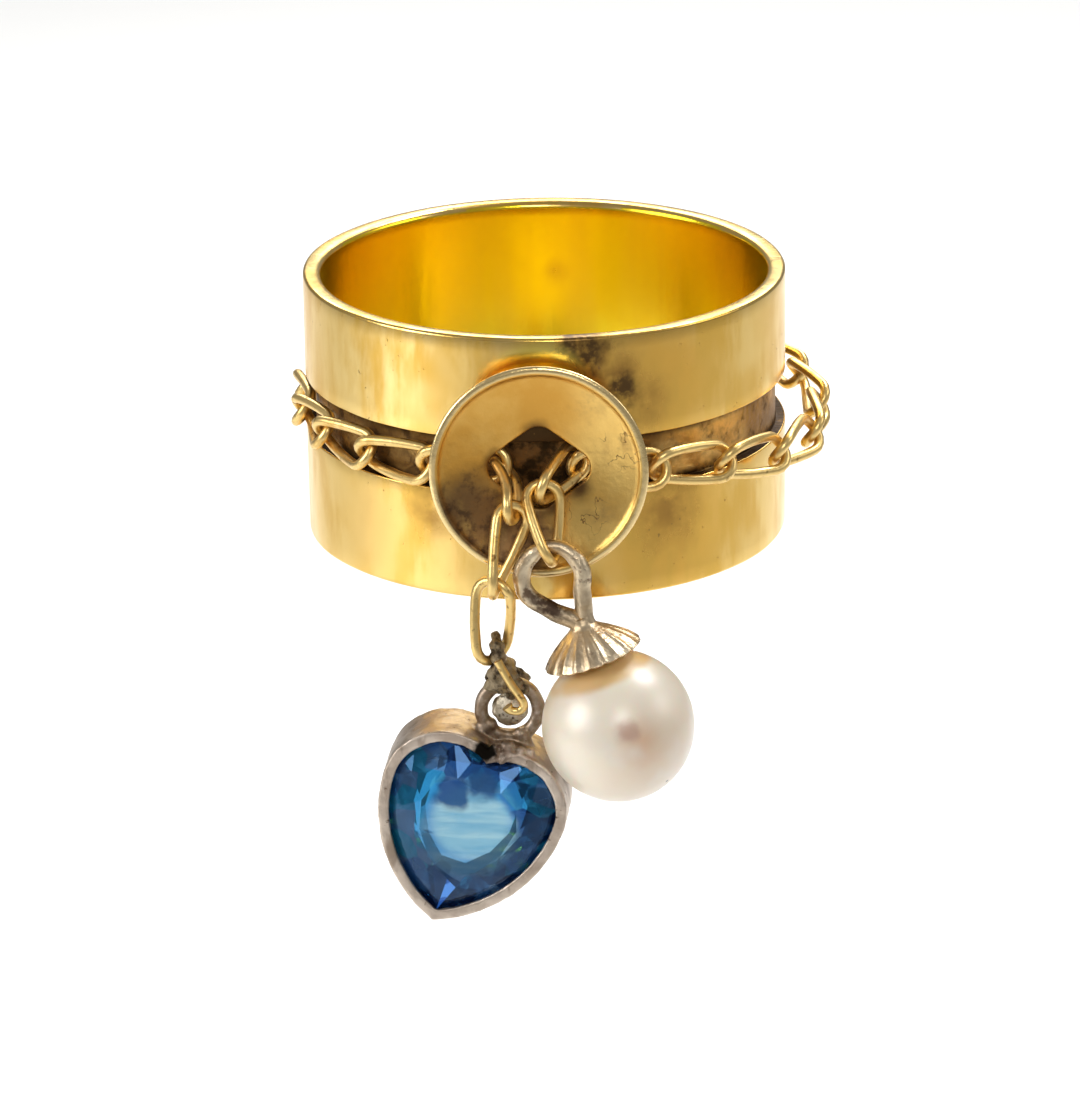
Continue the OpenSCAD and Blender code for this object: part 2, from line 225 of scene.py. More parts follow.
def makeBandGold():
    mat = newMaterial("bandGold", (0.95, 0.67, 0.23), 1, 0.2)
    streaks = clouds(mat, 1.5, 0.36, 0.6, 5, (1, 1, 0.3))
    # Painted light makes the band's upper left paler; painted shade makes its lower left and its right
    # darker and more orange
    left = patch(mat, (-6, -7.6, 3.0), 4.5, 0.8, 0.15)
    paintedShadeLowLeft = patch(mat, (-5.5, -7.8, -3.0), 4.2, 0.8, 0.15)
    right = most(mat, [
        patch(mat, (4.6, -8.5, 3.0), 4.4, 0.6, 0.2),
        patch(mat, (5.0, -8.3, -3.0), 4.6, 0.6, 0.2),
    ])
    stains = most(mat, [
        patch(mat, (1.7, -9.6, 4.6), 1.7, 0.5, 0.4, 0.8),
        patch(mat, (3.0, -9.3, 3.7), 1.6, 0.6, 0.5, 0.9),
        patch(mat, (3.9, -8.9, 2.5), 1.9, 0.8, 0.4),
        patch(mat, (5.0, -8.3, -2.2), 2.3, 0.8, 0.4),
        patch(mat, (-4.2, -8.8, -1.9), 1.8, 0.8, 0.4),
    ])
    dark = most(mat, [
        patch(mat, (1.9, -9.55, 4.9), 1.2, 0.3, 0.8, 0.9),
        patch(mat, (3.3, -9.15, 3.2), 1.0, 0.4, 0.9, 0.8),
    ])
    # The arc is a painted reflection of the dish's rim in the band
    arc = patch(mat, (0, -9.75, 3.4), 2.2, 0.4, 0.05)
    # Painted shade: near-black on the band behind the dish
    paintedShadeBehindDish = patch(mat, (0, -9.75, 1.7), 1.9, 0.35, 0.1)
    specks = times(mat, clouds(mat, 0.28, 0.68, 0.74, 3), clouds(mat, 4, 0.4, 0.6))
    paint(mat, [
        (left, (0.97, 0.74, 0.31), 0.19),
        (paintedShadeLowLeft, (0.9, 0.6, 0.2), 0.22),
        (right, (0.9, 0.53, 0.11), 0.24),
        (times(mat, streaks, clouds(mat, 4, 0.3, 0.6, 2)), (0.84, 0.52, 0.11), 0.27),
        (times(mat, stains, clouds(mat, 1.1, 0.15, 0.62, 6)), (0.44, 0.24, 0.06), 0.32),
        (times(mat, dark, clouds(mat, 0.5, 0.25, 0.55, 6)), (0.13, 0.075, 0.03), 0.36),
        (arc, (0.98, 0.84, 0.2), 0.2),
        (paintedShadeBehindDish, (0.09, 0.05, 0.02), 0.5),
        (specks, (0.35, 0.2, 0.07), 0.4),
    ])
    addBump(mat, clouds(mat, 2.2, 0.2, 0.8, 4, (1, 1, 0.35)), 0.03, 0.5)
    return mat


def makeBoreGoldPaintedReflection():
    # The deep orange base colour, with almost no blue, is painted reflection of gold on gold inside the
    # bore
    mat = newMaterial("boreGoldPaintedReflection", (0.985, 0.73, 0.03), 1, 0.18)
    seam = patch(mat, (0.1, 9.0, 2.4), 0.9, 0.9, 0.5)
    stripes = clouds(mat, 3.2, 0.42, 0.62, 3, (1, 1, 0.12))
    paint(mat, [
        (stripes, (0.95, 0.67, 0.035), 0.24),
        (seam, (0.8, 0.5, 0.04), 0.3),
    ])
    addBump(mat, clouds(mat, 0.7, 0.2, 0.8, 3, (1, 1, 0.3)), 0.008, 0.6)
    return mat


def makeChannelGold():
    mat = newMaterial("channelGold", (0.62, 0.38, 0.12), 1, 0.34)
    # Painted shade: the channel behind the dish is darker, mottled towards near-black
    paintedShadeBehindDish = patch(mat, (0, -9.4, 0.4), 3.1, 0.5, 0.15)
    height = addNode(mat, "SeparateXYZ", {"Vector": objectPlace(mat)}).outputs["Z"]
    middle = band["channelZ"] * mm
    fromMiddle = addNode(mat, "Math", {0: height, 1: middle}, operation="SUBTRACT").outputs[0]
    toEdge = addNode(mat, "Math", {0: fromMiddle}, operation="ABSOLUTE").outputs[0]
    # Painted shade, mottled, darkens the channel towards its upper and lower corners
    paintedShadeFrom, paintedShadeTo = 0.65 * mm, 1.05 * mm
    corners = times(mat, remap(mat, toEdge, paintedShadeFrom, paintedShadeTo), clouds(mat, 0.9, 0.2, 0.5, 4))
    rubbed = times(mat, patch(mat, (6.6, -6.4, 0), 3.6, 0.6, 0.3), clouds(mat, 0.8, 0.3, 0.6, 5))
    paint(mat, [
        (clouds(mat, 1.6, 0.3, 0.62, 6), (0.26, 0.145, 0.045), 0.42),
        (clouds(mat, 0.7, 0.5, 0.68, 5), (0.1, 0.055, 0.022), 0.55),
        (patch(mat, (-6.5, -6.9, 0), 3.6, 0.9, 0.3), (0.15, 0.085, 0.03), 0.48),
        (rubbed, (0.88, 0.58, 0.2), 0.3),
        (corners, (0.05, 0.028, 0.012), 0.5),
        (paintedShadeBehindDish, (0.22, 0.12, 0.045), 0.4),
        (times(mat, paintedShadeBehindDish, clouds(mat, 0.8, 0.42, 0.6, 5)), (0.05, 0.03, 0.014), 0.55),
    ])
    addBump(mat, clouds(mat, 0.35, 0.2, 0.8, 5), 0.03, 0.8)
    return mat


def makeDishGold():
    mat = newMaterial("dishGold", (0.93, 0.62, 0.19), 1, 0.3)
    # Painted shade makes the upper and upper-left bowl darker and deeper orange
    paintedShadeUpperBowl = most(mat, [
        patch(mat, (-0.8, -10.6, 2.7), 3.6, 0.5, 0.2, 2),
        patch(mat, (-2.8, -10.8, 1.0), 2.4, 0.5, 0.2, 2),
    ])
    # Dark brown over the lower left of the bowl is tarnish and painted shade together
    dark = most(mat, [
        patch(mat, (-2.6, -10.8, -2.0), 2.8, 0.45, 0.25, 1.2),
        patch(mat, (-1.0, -10.6, -2.6), 2.4, 0.45, 0.25, 1.2),
    ])
    # Dark round the hole's edges is tarnish and painted shadow together
    hole = most(mat, [
        patch(mat, (-0.1, -10.25, 1.75), 0.75, 0.7, 0.2, 0.6),
        patch(mat, (-1.7, -10.25, 0.6), 0.7, 0.7, 0.3, 0.6),
        patch(mat, (1.6, -10.25, -0.5), 0.8, 0.7, 0.3, 0.6),
        patch(mat, (0.4, -10.25, -1.2), 0.9, 0.7, 0.3, 0.6),
    ])
    right = most(mat, [
        patch(mat, (3.2, -10.8, 1.3), 1.3, 0.9, 0.6, 0.6),
        patch(mat, (2.4, -10.8, -1.45), 1.3, 0.9, 0.6, 0.6),
        patch(mat, (1.9, -10.8, 3.0), 1.2, 0.9, 0.6, 0.5),
    ])
    grain = addNoise(mat, objectPlace(mat), 0.9, 3.0)
    scratchLevel, scratchWidth = 0.5, 0.006
    ridge = addNode(mat, "Math", {0: grain, 1: scratchLevel, 2: scratchWidth}, operation="COMPARE")
    scratches = times(mat, ridge.outputs[0], most(mat, [
        patch(mat, (1.86, -10.8, -1.32), 1.3, 0.5, 0.3),
        patch(mat, (3.2, -10.8, 1.3), 1.2, 0.5, 0.3),
    ]))
    # Painted highlight: a thin pale line along the rim's lip
    rimMiddle = (0, -10.9, dish["z"])
    lipFrom, lipTo = 4.0 * mm, 4.08 * mm
    lipHighlight = remap(mat, distanceFrom(mat, rimMiddle), lipFrom, lipTo)
    paint(mat, [
        (paintedShadeUpperBowl, (0.7, 0.37, 0.07), 0.35),
        # Painted light: a paler, yellower lower right of the bowl
        (patch(mat, (2.2, -10.8, -2.0), 2.4, 0.7, 0.2), (0.98, 0.66, 0.2), 0.36),
        (clouds(mat, 2.4, 0.4, 0.75, 5), (0.8, 0.48, 0.12), 0.33),
        (times(mat, right, clouds(mat, 0.7, 0.38, 0.66, 6)), (0.5, 0.3, 0.1), 0.4),
        (times(mat, dark, clouds(mat, 1.3, 0.0, 0.45, 6)), (0.24, 0.14, 0.06), 0.42),
        (times(mat, dark, clouds(mat, 0.5, 0.45, 0.65, 6)), (0.12, 0.07, 0.036), 0.5),
        (hole, (0.14, 0.075, 0.028), 0.45),
        (scratches, (0.3, 0.17, 0.06), 0.45),
        (lipHighlight, (0.97, 0.74, 0.36), 0.24),
    ])
    addBump(mat, clouds(mat, 0.4, 0.2, 0.8, 5), 0.014, 0.6)
    return mat


def makeSeatGold():
    # The near-black colour is painted shade, seen through the dish's hole
    mat = newMaterial("seatGoldPaintedShade", (0.16, 0.085, 0.03), 1, 0.5)
    paint(mat, [
        (clouds(mat, 0.9, 0.4, 0.65, 5), (0.07, 0.04, 0.018), 0.55),
        (clouds(mat, 0.4, 0.55, 0.7, 4), (0.035, 0.022, 0.012), 0.6),
    ])
    addBump(mat, clouds(mat, 0.3, 0.2, 0.8, 5), 0.03, 0.7)
    return mat


def makeChainGold():
    mat = newMaterial("chainGold", (0.94, 0.68, 0.27), 1, 0.34)
    paint(mat, [
        (clouds(mat, 1.0, 0.48, 0.75, 4), (0.76, 0.48, 0.15), 0.38),
        (clouds(mat, 0.45, 0.6, 0.72, 4), (0.3, 0.16, 0.05), 0.45),
    ])
    addBump(mat, clouds(mat, 0.3, 0.2, 0.8, 3), 0.012, 0.5)
    return mat


def makeCapMetal():
    mat = newMaterial("capMetal", (0.9, 0.75, 0.53), 1, 0.32)
    neck = patch(mat, (0.4, -12.4, -4.5), 1.3, 0.5, 0.3, 0.5)
    paint(mat, [
        (clouds(mat, 1.4, 0.36, 0.64, 4), (0.56, 0.42, 0.26), 0.38),
        (times(mat, clouds(mat, 0.6, 0.52, 0.62, 5), clouds(mat, 2, 0.4, 0.6, 2)), (0.25, 0.17, 0.11), 0.5),
        (times(mat, neck, clouds(mat, 0.45, 0.32, 0.55, 5)), (0.1, 0.065, 0.045), 0.55),
    ])
    addBump(mat, clouds(mat, 0.22, 0.2, 0.8, 5), 0.02, 0.7)
    return mat


def makeSettingMetal():
    mat = newMaterial("settingMetal", (0.7, 0.6, 0.51), 1, 0.4)
    cleft = patch(mat, (-1.8, -12.7, -10.5), 1.5, 0.7, 0.4, 0.6)
    # The gap is near-black painted shade standing for an opening at the heart's cleft, which the shape does
    # not have
    gap = patch(mat, (-2.2, -12.85, -10.55), 0.55, 0.3, 0.3, 0.3)
    # Dark brown on the heart's eye ring is patina and painted shade together
    ring = patch(mat, (-1.25, -11.4, -9.5), 1.8, 0.35, 0.2)
    paint(mat, [
        (clouds(mat, 1.6, 0.4, 0.68, 5), (0.54, 0.44, 0.36), 0.46),
        (clouds(mat, 0.8, 0.5, 0.7, 5, (1, 1, 0.3)), (0.42, 0.33, 0.26), 0.46),
        (times(mat, ring, clouds(mat, 0.7, 0.2, 0.55, 5)), (0.26, 0.18, 0.11), 0.48),
        (times(mat, cleft, clouds(mat, 0.4, 0.3, 0.56, 5)), (0.14, 0.09, 0.06), 0.55),
        (gap, (0.01, 0.008, 0.006), 0.7),
        (clouds(mat, 0.3, 0.64, 0.72, 4), (0.2, 0.13, 0.09), 0.5),
    ])
    addBump(mat, clouds(mat, 0.3, 0.2, 0.8, 5), 0.02, 0.6)
    return mat


def makeOldSolder():
    mat = newMaterial("oldSolder", (0.36, 0.29, 0.19), 1, 0.5)
    paint(mat, [
        (clouds(mat, 0.45, 0.46, 0.64, 6), (0.08, 0.06, 0.04), 0.62),
        (clouds(mat, 0.7, 0.6, 0.75, 4), (0.5, 0.36, 0.17), 0.4),
    ])
    addBump(mat, clouds(mat, 0.16, 0.2, 0.8, 6), 0.05, 0.9)
    return mat


def makePaleSolder():
    mat = newMaterial("paleSolder", (0.78, 0.7, 0.56), 1, 0.4)
    paint(mat, [
        (clouds(mat, 0.4, 0.46, 0.64, 5), (0.45, 0.38, 0.26), 0.5),
        (clouds(mat, 0.2, 0.56, 0.66, 5), (0.08, 0.06, 0.045), 0.6),
    ])
    addBump(mat, clouds(mat, 0.15, 0.2, 0.8, 5), 0.03, 0.8)
    return mat


def makeNacre():
    mat = newMaterial(
        "nacre", (0.93, 0.84, 0.69), 0, 0.48,
        Coat_Weight=1.0, Coat_Roughness=0.36, Coat_IOR=2.0, Specular_IOR_Level=0.8,
        Subsurface_Weight=0.3, Subsurface_Scale=0.0008,
    )
    rim = addNode(mat, "LayerWeight", {"Blend": 0.3}).outputs["Facing"]
    # Painted reflection and shade: an amber strip on the pearl under the cap's rim
    paintedReflectionUnderCap = patch(mat, (2.08, -12.19, -6.79), 2.42, 0.16, 0.03)
    paint(mat, [
        (remap(mat, rim, 0.2, 0.9), (0.87, 0.74, 0.54), 0.4),
        # Painted shade: warmer, darker cream towards the lower right and the bottom
        (patch(mat, (4.9, -14.8, -10.4), 3.6, 0.8, 0.05), (0.84, 0.68, 0.51), None),
        (patch(mat, (2.9, -14.2, -12.3), 2.4, 0.9, 0.05), (0.84, 0.71, 0.55), None),
        (paintedReflectionUnderCap, (0.8, 0.53, 0.22), None),
        # Painted reflection of the camera and the gold ring: a pink-brown spot with an orange-brown shade
        # beside it
        (patch(mat, (3.95, -15.2, -9.35), 1.25, 0.8, 0.3, 0.9), (0.8, 0.52, 0.32), None),
        (patch(mat, (3.4, -15.3, -8.75), 0.7, 0.6, 0.5, 0.7), (0.6, 0.37, 0.26), None),
        (clouds(mat, 2.5, 0.5, 0.8, 2), (0.88, 0.8, 0.7), None),
        (patch(mat, (4.94, -13.98, -11.35), 0.09, 0.4, 0.1), (0.05, 0.04, 0.03), None),
    ])
    addBump(mat, clouds(mat, 1.5, 0.2, 0.8, 2), 0.01, 0.4)
    return mat


def makeBlueStone():
    mat = newMaterial(
        "blueStone", (0.03, 0.15, 0.44), 0, 0.0,
        IOR=1.77, Transmission_Weight=0.82, Specular_Tint=(0.2, 0.42, 0.8, 1),
    )
    # The stone's light is painted: pale and navy facets, a lighter upper left, a darker right, a pale
    # streaked window low down and navy shade above it
    paintedFacetCells = addNode(mat, "TexVoronoi", {"Vector": objectPlace(mat), "Scale": 1 / (0.95 * mm)})
    shade = addNode(mat, "SeparateColor", {"Color": paintedFacetCells.outputs["Color"]})
    paintedWindowLight = patch(mat, (-2.85, -12.6, -13.8), 2.2, 0.2, 0.04)
    streaks = clouds(mat, 0.9, 0.42, 0.6, 4, (0.2, 1, 1.6))
    paintedShadeAboveWindow = most(mat, [
        patch(mat, (-3.5, -12.8, -12.1), 1.0, 0.25, 0.5, 0.9),
        patch(mat, (-2.3, -12.8, -12.0), 0.9, 0.25, 0.5, 0.9),
    ])
    paint(mat, [
        (patch(mat, (-4.3, -12.8, -11.9), 1.7, 0.5, 0.1), (0.18, 0.33, 0.62), None),
        (patch(mat, (-0.7, -12.8, -12.6), 1.6, 0.7, 0.1), (0.01, 0.16, 0.34), None),
        (remap(mat, shade.outputs["Blue"], 0.7, 0.73), (0.14, 0.29, 0.56), None),
        (remap(mat, shade.outputs["Green"], 0.74, 0.77), (0.02, 0.33, 0.6), None),
        (remap(mat, shade.outputs["Red"], 0.72, 0.75), (0.006, 0.03, 0.13), None),
        (paintedWindowLight, (0.15, 0.36, 0.53), None),
        (times(mat, paintedWindowLight, streaks), (0.32, 0.53, 0.62), None),
        (paintedShadeAboveWindow, (0.004, 0.02, 0.09), None),
    ])
    return mat


def makeFloor():
    mat = newMaterial("floor", stage["floorColor"][:3], 0, 0.9, Specular_IOR_Level=0.1)
    paint(mat, [(clouds(mat, 200, 0.3, 0.7, 2), (0.84, 0.84, 0.83), None)])
    return mat


# Piece helpers; shapes are worked out in millimetres

def applied(obj):
    bpy.context.view_layer.update()
    shown = obj.evaluated_get(bpy.context.evaluated_depsgraph_get())
    bm = bmesh.new()
    bm.from_mesh(bpy.data.meshes.new_from_object(shown))
    bpy.data.objects.remove(obj)
    return bm


def temporary(bm, name="temporary"):
    mesh = bpy.data.meshes.new(name)
    bm.to_mesh(mesh)
    bm.free()
    obj = bpy.data.objects.new(name, mesh)
    scene.collection.objects.link(obj)
    return obj


# Degrees past which an edge is sharp
sharpFrom = {"plain": 40, "plate": 50, "wire": 60, "lumpy": 70}

mergeDistance = {"piece": 0.0005, "node": 0.001}


def vertsOf(geom):
    return [g for g in geom if isinstance(g, bmesh.types.BMVert)]


# Soft noise along each vertex's normal
def addLumps(bm, lump, size):
    for v in bm.verts:
        v.co += v.normal * lump * noise.noise(v.co / size)


def spinRound(bm, steps):
    bmesh.ops.spin(
        bm, geom=bm.verts[:] + bm.edges[:], cent=(0, 0, 0), axis=(0, 0, 1), dvec=(0, 0, 0),
        angle=2 * math.pi, steps=steps, use_merge=True, use_duplicate=False,
    )


def finishPiece(name, bm, materials, body, replaced=(), sharp="plain"):
    bmesh.ops.remove_doubles(bm, verts=bm.verts, dist=mergeDistance["piece"])
    bmesh.ops.recalc_face_normals(bm, faces=bm.faces)
    bm.transform(Matrix.Scale(mm, 4))
    mesh = bpy.data.meshes.new(name)
    bm.to_mesh(mesh)
    bm.free()
    mesh.shade_smooth()
    mesh.set_sharp_from_angle(angle=math.radians(sharpFrom[sharp]))
    for mat in materials:
        mesh.materials.append(mat)
    piece = bpy.data.objects.new(name, mesh)
    scene.collection.objects.link(piece)
    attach(piece, body)
    if replaced:
        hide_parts(*replaced)


# Smooth line through points, with the given number of steps between two of them
def smoothLine(points, steps):
    pts = [Vector(p) for p in points]
    doubled = [pts[0]] + pts + [pts[-1]]
    line = []
    for a, b, c, d in zip(doubled, doubled[1:], doubled[2:], doubled[3:]):
        for k in range(steps):
            t = k / steps
            start = 2 * b + (c - a) * t
            line.append(
                0.5 * (start + (2 * a - 5 * b + 4 * c - d) * t * t + (3 * b - a - 3 * c + d) * t ** 3)
            )
    return line + [pts[-1]]


# 1 at the place, falling softly to 0 at half the width on either side
def hill(t, at, half):
    return (1 + math.cos(math.pi * (t - at) / half)) / 2 if abs(t - at) < half else 0


wireBevel = 4
lineSteps = 5


def wire(points, radius, closed, thickness=None):
    curve = bpy.data.curves.new("wire", "CURVE")
    curve.dimensions = "3D"
    curve.bevel_depth = radius
    curve.bevel_resolution = wireBevel
    curve.use_fill_caps = not closed
    spline = curve.splines.new("POLY")
    spline.points.add(len(points) - 1)
    for i, p in enumerate(points):
        spline.points[i].co = (*p, 1)
        spline.points[i].radius = thickness[i] if thickness else 1
    spline.use_cyclic_u = closed
    obj = bpy.data.objects.new("wire", curve)
    scene.collection.objects.link(obj)
    return applied(obj)


# Turns a half section, points of (radius, height), round the Z axis
def lathe(section, steps):
    bm = bmesh.new()
    verts = [bm.verts.new((r, 0, z)) for r, z in section]
    for pair in zip(verts, verts[1:]):
        bm.edges.new(pair)
    spinRound(bm, steps)
    return bm


# Band

band = {
    "boreR": 9.0,
    "outerR": 9.75,
    "height": 10.85,
    "channelHeight": 2.2,
    "channelDepth": 0.4,
    "channelZ": 0.1,
    "innerRound": 0.3,
    "outerRound": 0.15,
    "channelRound": 0.05,
    "roundSteps": 5,
    "cuts": ((3, 7), (1, 3)),  # edges longer than the first number get the second number of cuts
    "steps": 240,
    "dent": 0.03,
    "dentSize": (3.2, 3.2, 9),
    "boreSkin": 0.04,  # faces this close to the bore have the bore's gold, whose deep colour is painted reflection
    "channelSkin": 0.08,  # faces deeper than this, within the channel's height, have its finish
    "channelOver": 0.02,  # added to that height, above and below
}


def makeBand(b, materials):
    h = b["height"] / 2
    low = b["channelZ"] - b["channelHeight"] / 2
    high = b["channelZ"] + b["channelHeight"] / 2
    floorR = b["outerR"] - b["channelDepth"]
    bm = bmesh.new()
    corners = [
        (b["boreR"], -h), (b["outerR"], -h), (b["outerR"], low), (floorR, low),
        (floorR, high), (b["outerR"], high), (b["outerR"], h), (b["boreR"], h),
    ]
    rounds = ["innerRound", "outerRound"] + 4 * ["channelRound"] + ["outerRound", "innerRound"]
    verts = [bm.verts.new((r, 0, z)) for r, z in corners]
    bm.faces.new(verts)
    for v, rounding in zip(verts, rounds):
        bmesh.ops.bevel(
            bm, geom=[v], offset=b[rounding], segments=b["roundSteps"], profile=0.5,
            affect="VERTICES", material=-1,
        )
    bmesh.ops.delete(bm, geom=bm.faces[:], context="FACES_ONLY")
    for length, cuts in b["cuts"]:
        bmesh.ops.subdivide_edges(bm, edges=[e for e in bm.edges if e.calc_length() > length], cuts=cuts)
    spinRound(bm, b["steps"])
    for v in bm.verts:
        out = Vector((v.co.x, v.co.y, 0)).normalized()
        v.co += out * b["dent"] * noise.noise(Vector([c / size for c, size in zip(v.co, b["dentSize"])]))
    over = b["channelOver"]
    for f in bm.faces:
        c = f.calc_center_median()
        r = math.hypot(c.x, c.y)
        if r < b["boreR"] + b["boreSkin"]:
            f.material_index = 1
        elif r < b["outerR"] - b["channelSkin"] and low - over < c.z < high + over:
            f.material_index = 2
    finishPiece("gold_band", bm, materials, "ring", ["ring_band"], "plate")


# Dish, with the seat behind it

dish = {
    "gap": 0.6,  # from the band's front to the edge of the hole
    "lean": 2.5,
    "z": 0.33,
    "rimR": 4.28,
    "depth": 0.66,
    "thick": 0.26,
    "lipR": 0.19,
    "lipRise": 0.55,
    "edgeR": 1.825,
    "holeW": 4.0,
    "holeH": 3.3,
    "holeRound": 0.75,
    "edgeRound": 0.06,
    "edgeShare": 0.3,  # where the edge's rounding is broken once more
    "halvings": 30,  # steps in finding the outline of the hole
    "seatR": 2.5,
    "seatFront": -0.1,
    "seatDepth": 1,
    "seatAround": 96,
    "cutDepth": 6,
    "way": (12, 8),  # width and depth of the chain's way through the seat
    "wayY": -10,
    "around": 192,
    "across": 12,
    "acrossBack": 6,
    "lipTurn": (160, 25, 13),  # degrees at the first step, degrees a step, steps
    "dent": 0.02,
    "dentSize": 1.6,
}

onDish = (
    Matrix.Translation((0, -band["outerR"] - dish["gap"], dish["z"]))
    @ Matrix.Rotation(math.radians(90 - dish["lean"]), 4, "X")
)


# Distance of the hole's outline from its middle, in the direction of the angle
def holeReach(d, angle):
    c, s = abs(math.cos(angle)), abs(math.sin(angle))
    a, b = d["holeW"] / 2 - d["holeRound"], d["holeH"] / 2 - d["holeRound"]
    low, high = 0.0, d["holeW"]
    for _ in range(d["halvings"]):
        r = (low + high) / 2
        x, y = r * c, r * s
        t = min(1, max(0, ((a - x) * a + y * b) / (a * a + b * b)))
        inside = x / a + y / b < 1 or math.hypot(x - a * (1 - t), y - b * t) < d["holeRound"]
        low, high = (r, high) if inside else (low, r)
    return low


# One row for each ring of vertices, from the back of the hole's edge round the lip to the back again:
# part of the way to the lip, distance past that, radius of the sphere, rise.
# A number alone is an angle on the lip
def dishRings(d, front, back):
    e = d["edgeRound"]
    near = e * d["edgeShare"]
    rings = [
        (0, e, back, near), (0, 0, back, e), (0, 0, front, -e), (0, near, front, -near), (0, e, front, 0),
    ]
    rings += [((k + 1) / d["across"], 0, front, 0) for k in range(d["across"])]
    start, step, count = d["lipTurn"]
    rings += [math.radians(start - k * step) for k in range(count)]
    rings += [(1 - k / d["acrossBack"], 0, back, 0) for k in range(d["acrossBack"])]
    return rings


def makeDish(d, material):
    sphereR = (d["rimR"] ** 2 - d["edgeR"] ** 2) / (2 * d["depth"])
    middleZ = sphereR - d["edgeR"] ** 2 / (2 * sphereR)
    lipAt = Vector((d["rimR"] - d["lipR"], d["depth"] - d["thick"] / 2))
    flat = d["rimR"] - 2 * d["lipR"]
    bm = bmesh.new()
    ring = bmesh.ops.create_circle(bm, cap_ends=False, radius=1, segments=d["around"])["verts"]
    edges = bm.edges[:]
    for n, spec in enumerate(dishRings(d, sphereR, sphereR + d["thick"])):
        if n:
            grown = bmesh.ops.extrude_edge_only(bm, edges=edges)["geom"]
            ring = vertsOf(grown)
            fresh = set(ring)
            edges = [g for g in grown if isinstance(g, bmesh.types.BMEdge) and fresh.issuperset(g.verts)]
        for v in ring:
            angle = math.atan2(v.co.y, v.co.x)
            if isinstance(spec, float):
                r = lipAt.x + d["lipR"] * math.cos(spec)
                z = lipAt.y + d["lipR"] * math.sin(spec) * (d["lipRise"] if spec > 0 else 1)
            else:
                part, more, radius, rise = spec
                reach = holeReach(d, angle)
                r = reach + (flat - reach) * part + more
                z = middleZ - math.sqrt(radius ** 2 - r ** 2) + rise
            v.co = (r * math.cos(angle), r * math.sin(angle), z)
    bmesh.ops.bridge_loops(bm, edges=[edge for edge in bm.edges if edge.is_boundary])
    bm.transform(onDish)
    for v in bm.verts:
        v.co += Vector((0, 1, 0)) * d["dent"] * noise.noise(v.co / d["dentSize"])
    finishPiece("gold_dish", bm, [material], "ring", (), "plate")


def holePrism(d):
    hole = bmesh.new()
    outline = bmesh.ops.create_circle(hole, cap_ends=True, radius=1, segments=d["seatAround"])["verts"]
    for v in outline:
        v.co *= holeReach(d, math.atan2(v.co.y, v.co.x))
    grown = bmesh.ops.extrude_face_region(hole, geom=hole.faces[:])["geom"]
    bmesh.ops.translate(hole, verts=vertsOf(grown), vec=(0, 0, d["cutDepth"]))
    bmesh.ops.recalc_face_normals(hole, faces=hole.faces)
    hole.transform(onDish @ Matrix.Translation((0, 0, -d["cutDepth"] / 2)))
    return hole


def chainWay(d):
    way = bmesh.new()
    bmesh.ops.create_cube(way, size=1)
    size = Matrix.Diagonal((*d["way"], band["channelHeight"], 1))
    way.transform(Matrix.Translation((0, d["wayY"], band["channelZ"])) @ size)
    return way


def makeSeat(d, material):
    seat = bmesh.new()
    bmesh.ops.create_cone(
        seat, cap_ends=True, segments=d["seatAround"],
        radius1=d["seatR"], radius2=d["seatR"], depth=d["seatDepth"],
    )
    seat.transform(onDish @ Matrix.Translation((0, 0, d["seatFront"] - d["seatDepth"] / 2)))
    cutters = [temporary(holePrism(d)), temporary(chainWay(d))]
    body = temporary(seat)
    for cutter in cutters:
        cut = body.modifiers.new("cut", "BOOLEAN")
        cut.operation = "DIFFERENCE"
        cut.object = cutter
        cut.solver = "EXACT"
    bm = applied(body)
    for cutter in cutters:
        bpy.data.objects.remove(cutter)
    finishPiece("dish_seat", bm, [material], "ring")


# Chain

chain = {
    "wireR": 0.208,
    "filed": 0.1,  # how deep the faces of a link are filed flat
    "bendSteps": 9,
    "sideSteps": 10,
    "length": 3.6,
    "halfWidth": 0.68,
    "twist": -75,
    "links": 18,
    "from": 36,  # degrees round the band, from the front
    "to": 324.5,
    "lift": 0.27,
    "z": -0.05,
    "wireRInSource": 0.21,
    "bow": (1.2, 82, 70),  # how far, at which angle, half the width of the stretch
    "sag": (0.75, 72, 54),
    "pathSteps": 240,
    "aheadStep": 0.5,  # degrees to either side, for a link's direction
    "sameLength": 1e-9,
}

# Name: high end, low end, turn, half width, twist, bend; ends are measured from the front of the band
endLinks = {
    "link_left": ((-1.23, -0.21, 0.36), (-4.7, 0.98, 0.03), 7.5, 0.68, -40, 0),
    "link_right": ((4.97, 0.92, -0.31), (1.24, -0.02, 0.29), -2, 0.7, -45, 0),
    "hook_left": ((-1.29, 0.14, 0.51), (-0.82, -2.28, -1.07), 78, 0.6, -32, 57.5),
    "hook_right": ((1.69, 0.33, 0.69), (0.02, -1.71, -0.4), 20, 0.61, -61.5, 0),
    "link_pearl": ((0.1, -1.33, -0.02), (0.51, -2.28, -2.97), 46.5, 0.69, -76, 0),
    "link_heart_upper": ((-0.88, -1.69, -0.8), (-1.8, -2.57, -4.21), 49.5, 0.68, -74, 0),
    "link_heart_lower": ((-1.77, -2.3, -3.72), (-1.93, -1.92, -7.16), 9, 0.7, -75, 0),
}


